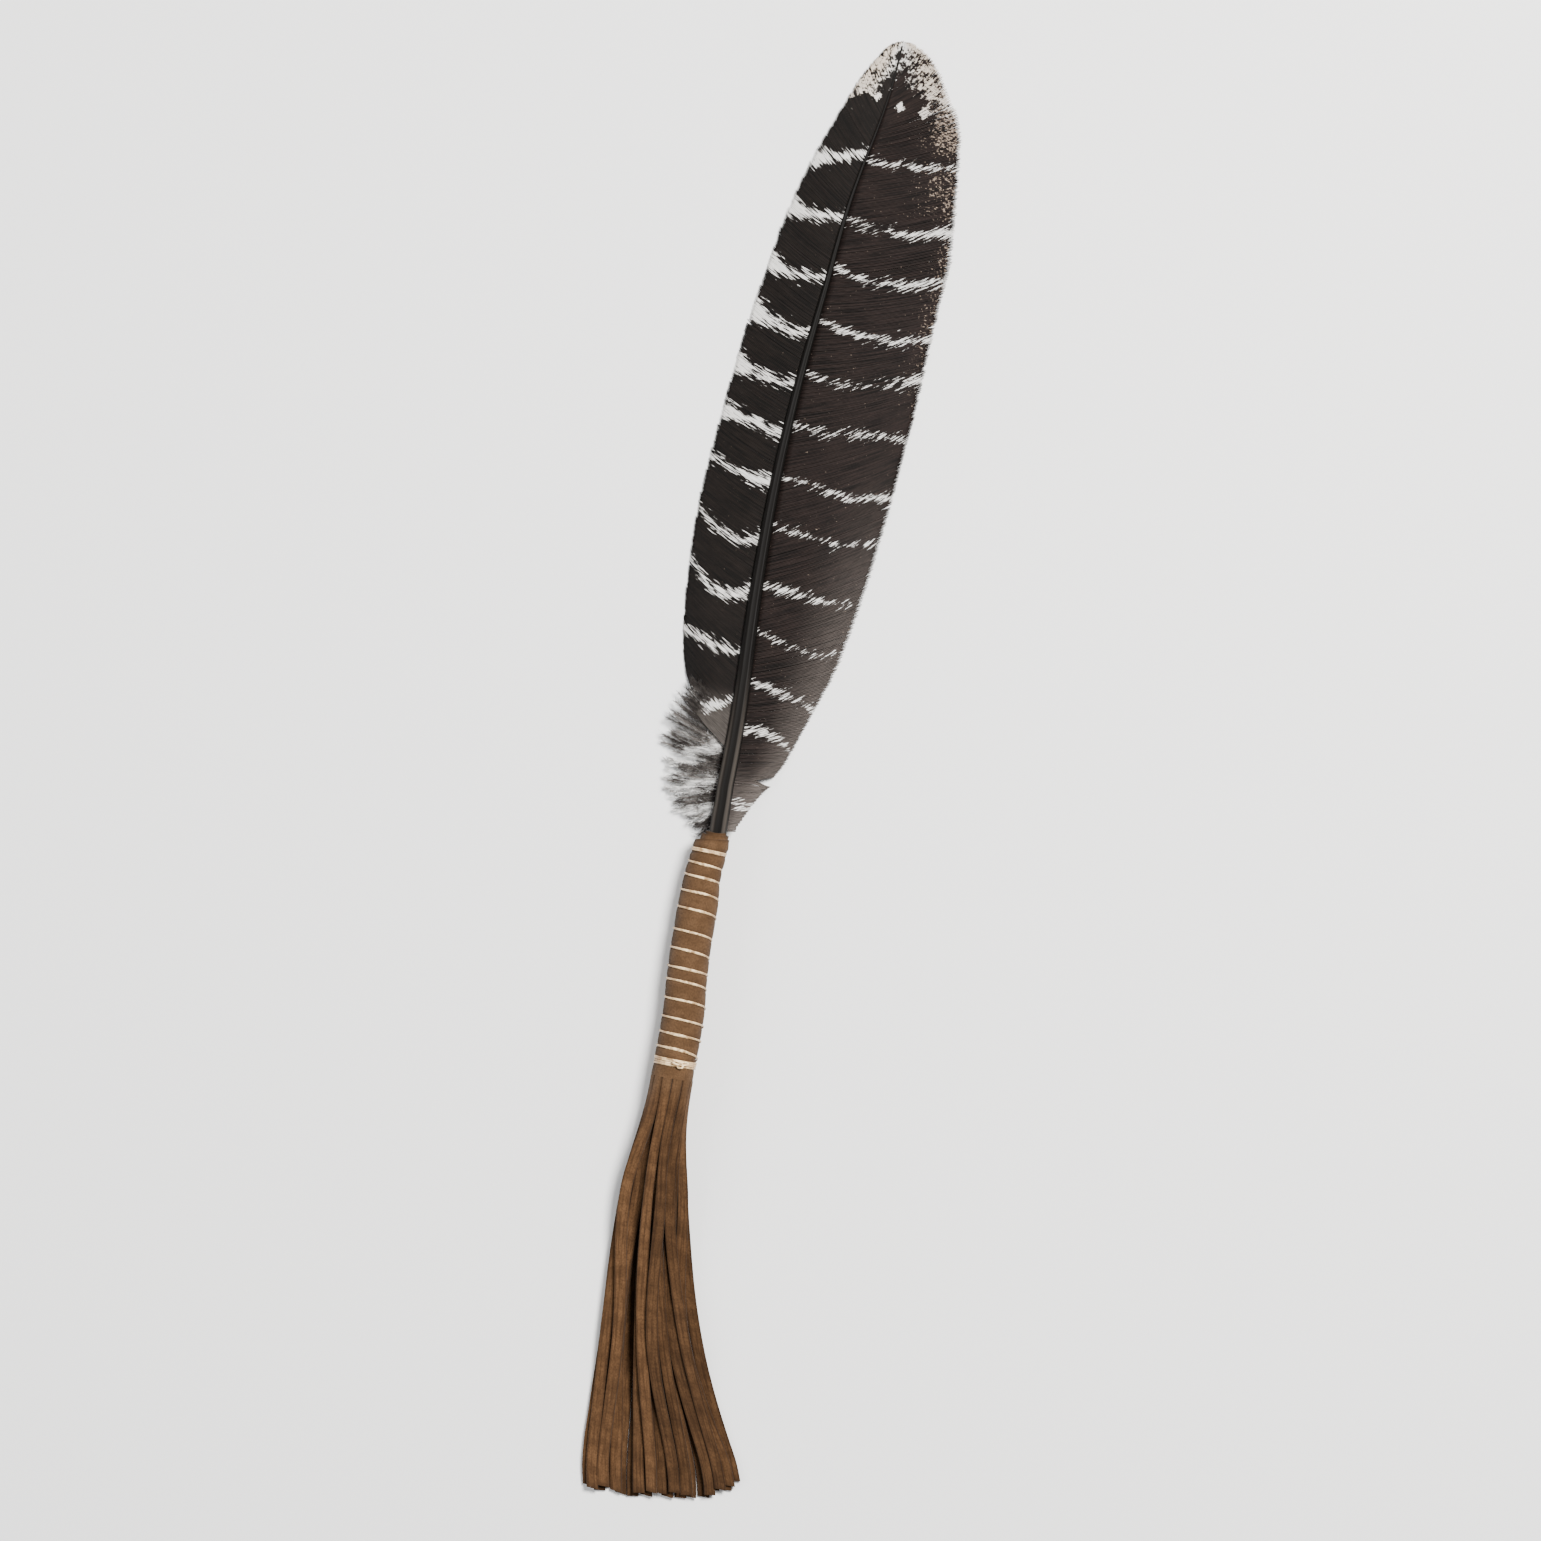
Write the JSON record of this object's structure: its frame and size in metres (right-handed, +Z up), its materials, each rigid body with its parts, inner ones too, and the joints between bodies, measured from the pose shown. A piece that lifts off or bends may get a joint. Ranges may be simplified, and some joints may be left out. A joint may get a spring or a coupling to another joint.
{
  "type": "feather hand fan",
  "caption": "Single barred wing feather set in a rolled, thread-bound leather handle with a long cut leather fringe that swings in three bundles.",
  "frame": {"origin": "middle of the object's plan, on the surface that it lies on", "axes": "+Y along the handle towards the feather's tip, +Z up from the surface, +X towards the wide vane"},
  "size_m": [0.0664, 0.4725, 0.0175],
  "materials": {
    "quill": "near-black horn, satin",
    "vane": "brown-black barbs with white bars",
    "down": "fluffy grey and white barbs",
    "leather": "brown suede with a short nap",
    "thread": "waxed cream thread"
  },
  "bodies": {
    "handle": {"quill": "quill", "vane_left": "vane", "vane_right": "vane", "down_tuft": "down", "leather_wrap": "leather", "bottom_whipping": "thread", "top_whipping": "thread", "binding_thread": "thread", "binding_knot": "thread"},
    "fringe_left": {"thong_left_1": "leather", "thong_left_2": "leather", "thong_left_3": "leather", "thong_left_4": "leather", "thong_left_5": "leather", "thong_left_6": "leather", "thong_left_7": "leather"},
    "fringe_middle": {"thong_middle_1": "leather", "thong_middle_2": "leather", "thong_middle_3": "leather", "thong_middle_4": "leather", "thong_middle_5": "leather", "thong_middle_6": "leather", "thong_middle_7": "leather", "thong_middle_8": "leather", "thong_middle_9": "leather", "thong_middle_10": "leather", "thong_middle_11": "leather"},
    "fringe_right": {"thong_right_1": "leather", "thong_right_2": "leather", "thong_right_3": "leather", "thong_right_4": "leather", "thong_right_5": "leather", "thong_right_6": "leather", "thong_right_7": "leather"}
  },
  "joints": [
    {"name": "fringe_left_lift", "type": "hinge", "parent": "handle", "child": "fringe_left", "pos_m": [-0.0151, -0.10192, 0.01383], "axis": [-1, 0, 0], "range_deg": [0, 45]},
    {"name": "fringe_middle_lift", "type": "hinge", "parent": "handle", "child": "fringe_middle", "pos_m": [-0.0109, -0.10192, 0.01383], "axis": [-1, 0, 0], "range_deg": [0, 45]},
    {"name": "fringe_right_lift", "type": "hinge", "parent": "handle", "child": "fringe_right", "pos_m": [-0.0067, -0.10192, 0.01383], "axis": [-1, 0, 0], "range_deg": [0, 45]}
  ]
}
